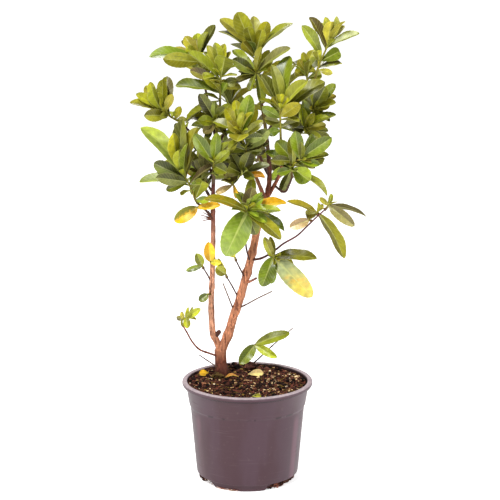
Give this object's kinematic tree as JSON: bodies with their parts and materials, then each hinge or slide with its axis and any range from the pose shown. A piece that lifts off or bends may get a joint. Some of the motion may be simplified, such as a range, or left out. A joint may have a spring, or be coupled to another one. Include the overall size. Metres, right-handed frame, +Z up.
{
  "type": "potted escallonia",
  "caption": "Young escallonia shrub: forked woody stems with tufts of glossy leaves, standing in soil in a round tapered nursery pot with a collared rim.",
  "frame": {"origin": "centre of the pot's flat base, on the surface that the pot stands on", "axes": "+Z up along the pot's axis; -Y towards the front of the plant, the side with the big drooping leaves; +X to the right as that front is seen"},
  "size_m": [0.2965, 0.2047, 0.6098],
  "materials": {
    "pot_plastic": "satin, lightly scuffed",
    "soil": "crumbly, with paler chips of bark",
    "bark": "thin flaking bark, darker at the nodes",
    "young_leaf": "glossy above, paler below",
    "mature_leaf": "glossy above, paler below",
    "shaded_leaf": "glossy above, paler below",
    "yellow_leaf": "limp and yellowed",
    "dry_leaf": "dry and curled"
  },
  "bodies": {
    "root": {"pot": "pot_plastic", "soil": "soil", "woody_stems": "bark", "low_twig": "bark", "crown_shoot": "young_leaf", "top_right_shoot": "young_leaf", "top_left_shoot": "young_leaf", "upper_left_shoot": "young_leaf", "far_left_shoot": "young_leaf", "left_shoot": "young_leaf", "centre_shoot": "young_leaf", "centre_right_shoot": "young_leaf", "small_upper_shoot": "young_leaf", "low_left_shoot": "young_leaf", "back_high_left_shoot": "young_leaf", "back_high_right_shoot": "young_leaf", "back_crown_left_shoot": "young_leaf", "back_crown_shoot": "young_leaf", "left_inner_shoot": "shaded_leaf", "left_dark_shoot": "shaded_leaf", "inner_high_shoot": "shaded_leaf", "inner_low_shoot": "shaded_leaf", "crown_side_shoot": "mature_leaf", "centre_left_shoot": "mature_leaf", "right_shoot": "mature_leaf", "right_low_shoot": "mature_leaf", "right_mid_shoot": "mature_leaf", "right_upper_shoot": "mature_leaf", "rosette_shoot": "mature_leaf", "drying_spray": "mature_leaf", "inner_leaf_twig": "mature_leaf", "left_spur_leaves": "mature_leaf", "left_stem_leaf": "mature_leaf", "right_cluster": "mature_leaf", "long_twig_shoot": "mature_leaf", "long_twig_low_shoot": "mature_leaf", "long_twig_dry_shoot": "mature_leaf", "back_left_shoot": "mature_leaf", "back_left_low_shoot": "mature_leaf", "back_centre_shoot": "mature_leaf", "back_centre_low_shoot": "mature_leaf", "back_right_shoot": "mature_leaf", "back_right_low_shoot": "mature_leaf", "back_middle_shoot": "mature_leaf", "low_shoot": "mature_leaf", "yellow_leaf_left": "yellow_leaf", "yellow_leaf_stem": "yellow_leaf", "yellow_leaf_behind": "yellow_leaf", "fallen_leaf_yellow": "yellow_leaf", "fallen_leaf_small": "yellow_leaf", "fallen_leaf_brown": "dry_leaf", "fallen_leaf_cream": "dry_leaf"}
  },
  "joints": []
}
